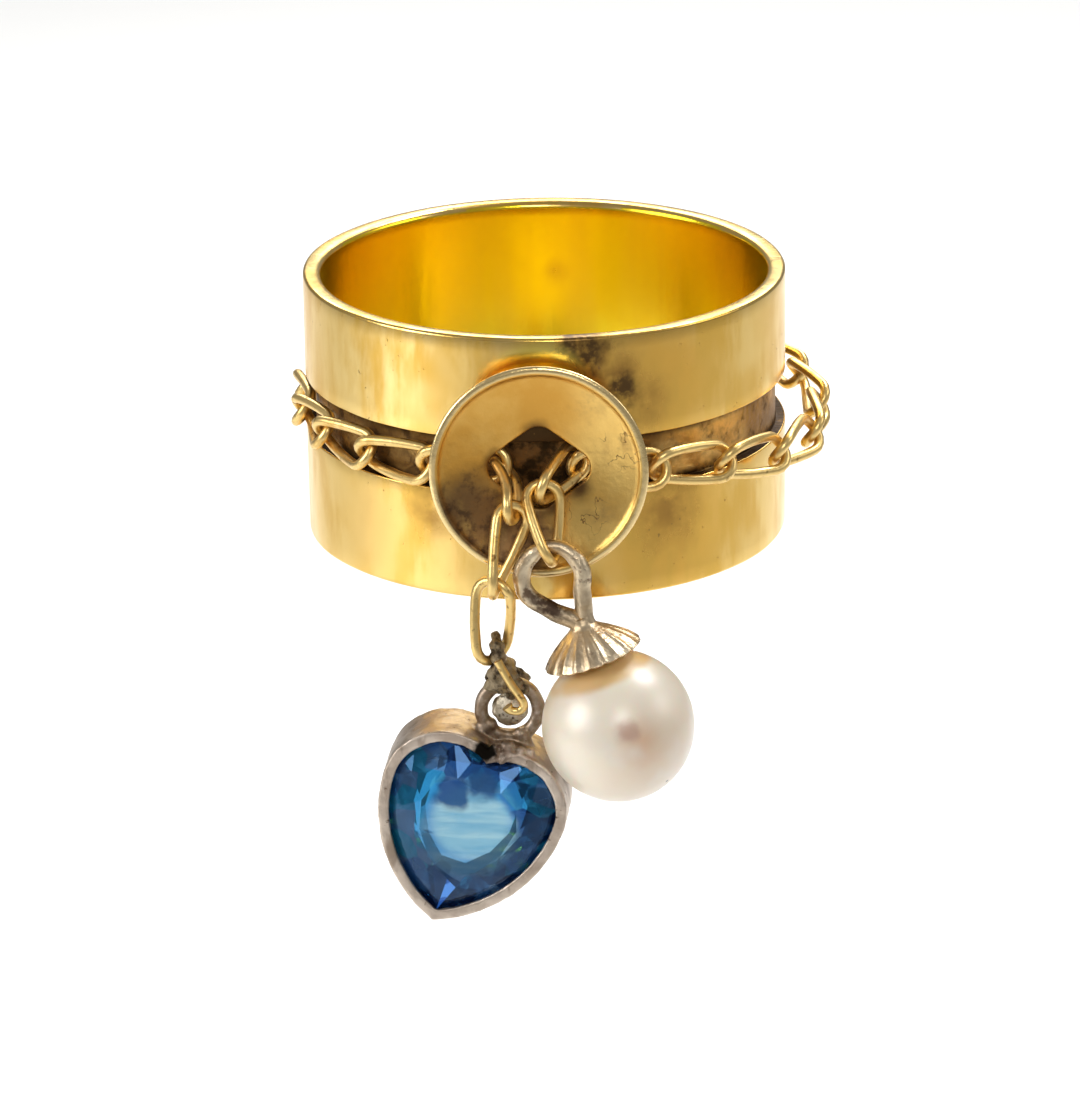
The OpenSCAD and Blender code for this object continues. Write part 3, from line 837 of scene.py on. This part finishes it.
def linkShape(length, halfWidth, twist, bend):
    w = halfWidth
    h = length / 2 - w
    n, m = chain["bendSteps"], chain["sideSteps"]
    flat = []
    for side in (1, -1):
        for i in range(n + 1):
            a = math.pi * i / n - math.pi / 2
            flat.append((side * w * math.sin(a), side * (h + w * math.cos(a))))
        for i in range(1, m):
            flat.append((side * w, side * (h - 2 * h * i / m)))
    points = []
    for x, z in flat:
        a = math.radians(twist * z / length)
        points.append((x * math.cos(a), x * math.sin(a), z))
    bm = wire(points, chain["wireR"], True)
    face = w * math.sin(math.radians(abs(twist) / 2)) + chain["wireR"] - chain["filed"]
    for v in bm.verts:
        v.co.y = max(-face, min(face, v.co.y))
        if bend:
            r = length / math.radians(bend)
            t = math.radians(bend * v.co.z / length)
            v.co = (v.co.x, r - (r - v.co.y) * math.cos(t), (r - v.co.y) * math.sin(t))
    return bm


def chainPoint(t):
    c = chain
    bow, sag = (peak * hill(t, at, half) for peak, at, half in (c["bow"], c["sag"]))
    r = band["outerR"] - band["channelDepth"] + c["wireRInSource"] + c["lift"] + bow
    a = math.radians(t)
    return Vector((r * math.sin(a), -r * math.cos(a), c["z"] - sag))


def between(high, low, turn):
    high, low = Vector(high), Vector(low)
    d = (high - low).normalized()
    return (
        Matrix.Translation((high + low) / 2 + Vector((0, -band["outerR"], 0)))
        @ Matrix.Rotation(math.atan2(d.x, d.z), 4, "Y")
        @ Matrix.Rotation(-math.asin(d.y), 4, "X")
        @ Matrix.Rotation(math.radians(turn), 4, "Z")
    )


def makeChain(c, material):
    n = c["pathSteps"]
    angles = [c["from"] + (c["to"] - c["from"]) * i / n for i in range(n + 1)]
    places = [chainPoint(a) for a in angles]
    lengths = [0]
    for a, b in zip(places, places[1:]):
        lengths.append(lengths[-1] + (b - a).length)
    roundLink = temporary(linkShape(c["length"], c["halfWidth"], c["twist"], 0))
    for k in range(c["links"]):
        s = lengths[-1] * k / (c["links"] - 1)
        i = max(j for j in range(n) if lengths[j] <= s + c["sameLength"])
        t = angles[i] + (angles[i + 1] - angles[i]) * (s - lengths[i]) / (lengths[i + 1] - lengths[i])
        along = (chainPoint(t + c["aheadStep"]) - chainPoint(t - c["aheadStep"])).normalized()
        across = (Vector((0, 0, 1)) - along * along.z).normalized()
        turn = Matrix((across, along.cross(across), along)).transposed().to_4x4()
        bm = bmesh.new()
        bm.from_mesh(roundLink.data)
        bm.transform(Matrix.Translation(chainPoint(t)) @ turn)
        node = f"link_{k + 1:02d}"
        finishPiece("gold_" + node, bm, [material], "ring", [node], "wire")
    bpy.data.objects.remove(roundLink)
    for name, (high, low, turn, halfWidth, twist, bend) in endLinks.items():
        bm = linkShape((Vector(high) - Vector(low)).length, halfWidth, twist, bend)
        bm.transform(between(high, low, turn))
        finishPiece("gold_" + name, bm, [material], "ring", [name], "wire")


# Pearl drop

pearlDrop = {
    "at": (3.03, -2.7, -9.62),
    "tilt": -18.5,
    "lean": -5,
    "radius": 3.0,
    "ballSteps": 64,
    "ballAround": 128,
    "holeR": 0.4,
    "holeRow": 0.6,  # depth of a row of vertices in the hole's wall
    "holeDepth": 2.0,
    "pegR": 0.35,
    "pegLength": 1.7,
    "pegSunk": 1.6,
    "pegAround": 24,
    "ribs": 20,
    "ribSteps": 12,
    "ribRise": 0.055,
    "ribWay": (0.6, 0.8),  # outwards and upwards
    "ribInner": 0.7,
    "ribOuter": 1.96,
    "ribFade": 0.8,
    "skirtZ": 2.93,  # the ribs are above this height
    "underZ": 3.06,  # below this height and within the next radius is the cap's underside
    "underR": 1.8,
    "eyeAt": (-0.5, 6.5),
    "eyeR": 1.25,
    "eyeFrom": -10,
    "eyeTo": 228,
    "eyeSteps": 12,
    "eyeWireR": 0.275,
    "eyeIn": (0.06, 0.34, 0.25),  # how far in, save for a stretch: its place and half its width
    "eyeThick": (1.28, 0.39, 0.18),  # how much thicker, save for the stretch that lies in the link
    "eyeEnd": (0.15, 0.93, 0.1),  # how much thicker, where, half the width of that stretch
    "lump": 0.045,
    "lumpSize": 0.45,
    "leg": [(0.2, 0, 4.3), (0.22, 0, 4.75), (0.44, 0, 5.6)],
    "tail": [(-0.8, 0, 5.08), (-0.3, 0, 4.66), (0, 0, 4.35)],
    "section": [  # radius and height, from the underside over the ribs to the neck
        (0, 3.05), (0.6, 3.05), (1.25, 3.05), (1.82, 2.94), (1.94, 3.02), (1.9, 3.1),
        (1.78, 3.24), (1.66, 3.38), (1.44, 3.58), (1.22, 3.76), (1.01, 3.93), (0.8, 4.08),
        (0.64, 4.2), (0.5, 4.32), (0.44, 4.46), (0.42, 4.62), (0.25, 4.67), (0, 4.68),
    ],
}

onPearl = (
    Matrix.Translation(Vector(pearlDrop["at"]) + Vector((0, -band["outerR"], 0)))
    @ Matrix.Rotation(math.radians(pearlDrop["tilt"]), 4, "Y")
    @ Matrix.Rotation(math.radians(pearlDrop["lean"]), 4, "X")
)


def makePearl(p, material):
    r, steps = p["radius"], p["ballSteps"]
    first = math.degrees(math.acos(p["holeR"] / r))
    angles = [math.radians(-90 + (first + 90) * i / steps) for i in range(steps + 1)]
    section = [(r * math.cos(a), r * math.sin(a)) for a in angles]
    section[0] = (0, -r)
    section += [(p["holeR"], r - p["holeRow"]), (p["holeR"], r - p["holeDepth"]), (0, r - p["holeDepth"])]
    bm = lathe(section, p["ballAround"])
    bm.transform(onPearl)
    finishPiece("pearl_ball", bm, [material], "pearl_drop", ["pearl"], "plate")


def makeCap(p, material):
    bm = lathe(p["section"], p["ribs"] * p["ribSteps"])
    outwards, upwards = p["ribWay"]
    for v in bm.verts:
        r = math.hypot(v.co.x, v.co.y)
        underside = v.co.z < p["underZ"] and r < p["underR"]
        if v.co.z > p["skirtZ"] and p["ribInner"] < r < p["ribOuter"] and not underside:
            ridge = (0.5 + 0.5 * math.cos(p["ribs"] * math.atan2(v.co.y, v.co.x))) ** 2
            fade = min(1, (r - p["ribInner"]) / p["ribFade"])
            way = Vector((v.co.x / r * outwards, v.co.y / r * outwards, upwards))
            v.co += way * p["ribRise"] * fade * ridge
    bm.transform(onPearl)
    finishPiece("ribbed_cap", bm, [material], "pearl_drop", ["pearl_cap"], "wire")


def makePeg(p, material):
    peg = bmesh.new()
    bmesh.ops.create_cone(
        peg, cap_ends=True, segments=p["pegAround"],
        radius1=p["pegR"], radius2=p["pegR"], depth=p["pegLength"],
    )
    middle = p["radius"] - p["pegSunk"] + p["pegLength"] / 2
    bmesh.ops.translate(peg, verts=peg.verts, vec=(0, 0, middle))
    peg.transform(onPearl)
    finishPiece("cap_peg", peg, [material], "pearl_drop")


def makeEye(p, material):
    steps = p["eyeSteps"]
    into, *intoStretch = p["eyeIn"]
    arc = []
    for i in range(steps + 1):
        a = math.radians(p["eyeFrom"] + (p["eyeTo"] - p["eyeFrom"]) * i / steps)
        r = p["eyeR"] - into * (1 - hill(i / steps, *intoStretch))
        arc.append((p["eyeAt"][0] + r * math.cos(a), 0, p["eyeAt"][1] + r * math.sin(a)))
    line = smoothLine(p["leg"] + arc + p["tail"], lineSteps)
    n = len(line) - 1
    thick, *thinStretch = p["eyeThick"]
    swell, *endStretch = p["eyeEnd"]
    thickness = [
        1 + (thick - 1) * (1 - hill(i / n, *thinStretch)) + swell * hill(i / n, *endStretch)
        for i in range(n + 1)
    ]
    bm = wire(line, p["eyeWireR"], False, thickness)
    addLumps(bm, p["lump"], p["lumpSize"])
    bm.transform(onPearl)
    finishPiece("cap_eye", bm, [material], "pearl_drop", (), "wire")


# Heart drop and the loop above it

softened = {
    "setting": {
        "voxel": 0.06, "smooth": 3, "lump": 0.025, "lumpSize": 0.5,
        "drops": [  # place and radius of lumps of solder
            ((-1.55, -12.78, -10.7), 0.2), ((-1.3, -12.85, -10.86), 0.17), ((-1.02, -12.8, -10.78), 0.2),
            ((-1.8, -12.65, -10.5), 0.22), ((-0.8, -12.65, -10.62), 0.2), ((-1.3, -12.5, -10.5), 0.3),
            ((-2.2, -12.5, -10.75), 0.24), ((-0.45, -12.5, -10.75), 0.22), ((-1.55, -12.9, -10.95), 0.14),
        ],
    },
    "loop": {
        "voxel": 0.05, "smooth": 2, "lump": 0.08, "lumpSize": 0.25,
        "drops": [
            ((-1.72, -11.75, -6.55), 0.3), ((-1.66, -11.9, -6.95), 0.34), ((-1.5, -12.0, -7.4), 0.36),
            ((-1.75, -11.95, -7.6), 0.34), ((-1.2, -12.0, -7.75), 0.36), ((-1.0, -12.0, -8.1), 0.34),
            ((-1.55, -12.0, -8.05), 0.34),
        ],
    },
}

blob = {"at": (-1.24, -11.42, -9.31), "radius": 0.7, "flat": 0.4, "lump": 0.14, "lumpSize": 0.3}

curl = {
    "radius": 0.17,
    "end": (0.35, 1.0, 0.2),  # how much thicker, where, half the width of that stretch
    "points": [
        (-1.66, -12.32, -6.95), (-1.4, -12.36, -7.45), (-1.12, -12.36, -7.97), (-0.8, -12.36, -8.45),
        (-0.66, -12.34, -8.8), (-0.86, -12.34, -9.05), (-1.18, -12.34, -9.02), (-1.32, -12.34, -8.86),
    ],
}


# Same form as the CAD node, with worn edges and lumps of solder
def makeSoftened(name, node, s, material, body):
    bm = bmesh.new()
    bm.from_mesh(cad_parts[node].data)
    bm.transform(Matrix.Scale(1 / mm, 4))
    bmesh.ops.remove_doubles(bm, verts=bm.verts, dist=mergeDistance["node"])
    for place, radius in s["drops"]:
        bmesh.ops.create_icosphere(bm, subdivisions=3, radius=radius, matrix=Matrix.Translation(place))
    obj = temporary(bm)
    again = obj.modifiers.new("remesh", "REMESH")
    again.mode = "VOXEL"
    again.voxel_size = s["voxel"]
    bm = applied(obj)
    for _ in range(s["smooth"]):
        bmesh.ops.smooth_vert(
            bm, verts=bm.verts, factor=0.5, use_axis_x=True, use_axis_y=True, use_axis_z=True,
        )
    bm.normal_update()
    addLumps(bm, s["lump"], s["lumpSize"])
    finishPiece(name, bm, [material], body, [node], "lumpy")


def makeCurl(c, material):
    line = smoothLine(c["points"], lineSteps)
    n = len(line) - 1
    swell, *endStretch = c["end"]
    thickness = [1 + swell * hill(i / n, *endStretch) for i in range(n + 1)]
    bm = wire(line, c["radius"], False, thickness)
    finishPiece("gold_curl", bm, [material], "ring", (), "wire")


def makeBlob(b, material):
    bm = bmesh.new()
    bmesh.ops.create_icosphere(bm, subdivisions=4, radius=b["radius"])
    for v in bm.verts:
        v.co *= 1 + b["lump"] * noise.noise(v.co / b["lumpSize"])
    bm.transform(Matrix.Translation(b["at"]) @ Matrix.Diagonal((1, b["flat"], 1, 1)))
    finishPiece("solder_blob", bm, [material], "ring", (), "wire")


# Making of the scene

placeCamera(camera)
for name, spec in lights.items():
    addLight(name, *spec)
world = bpy.data.worlds.new("studio")
world.use_nodes = True
world.node_tree.nodes["Background"].inputs["Color"].default_value = stage["skyColor"]
world.node_tree.nodes["Background"].inputs["Strength"].default_value = stage["skyStrength"]
scene.world = world
scene.view_settings.view_transform = "Standard"
floorMesh = bmesh.new()
bmesh.ops.create_grid(floorMesh, x_segments=4, y_segments=4, size=stage["floorSize"])
bmesh.ops.translate(floorMesh, verts=floorMesh.verts, vec=(0, 0, stage["floorZ"]))
floor = temporary(floorMesh, "floor")
floor.data.materials.append(makeFloor())
print("stage made")

makeBand(band, [makeBandGold(), makeBoreGoldPaintedReflection(), makeChannelGold()])
makeDish(dish, makeDishGold())
makeSeat(dish, makeSeatGold())
print("band and dish made")

chainGold = makeChainGold()
makeChain(chain, chainGold)
print("chain made")

capMetal = makeCapMetal()
makePearl(pearlDrop, makeNacre())
makeCap(pearlDrop, capMetal)
makePeg(pearlDrop, capMetal)
makeEye(pearlDrop, capMetal)
print("pearl drop made")

makeSoftened(
    "worn_setting", "heart_setting", softened["setting"],
    makeSettingMetal(), "heart_drop",
)
makeSoftened("solder_loop", "heart_jump", softened["loop"], makeOldSolder(), "ring")
makeCurl(curl, chainGold)
makeBlob(blob, makePaleSolder())
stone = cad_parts["heart_stone"]
stone.data.materials.clear()
stone.data.materials.append(makeBlueStone())
print("heart drop made")
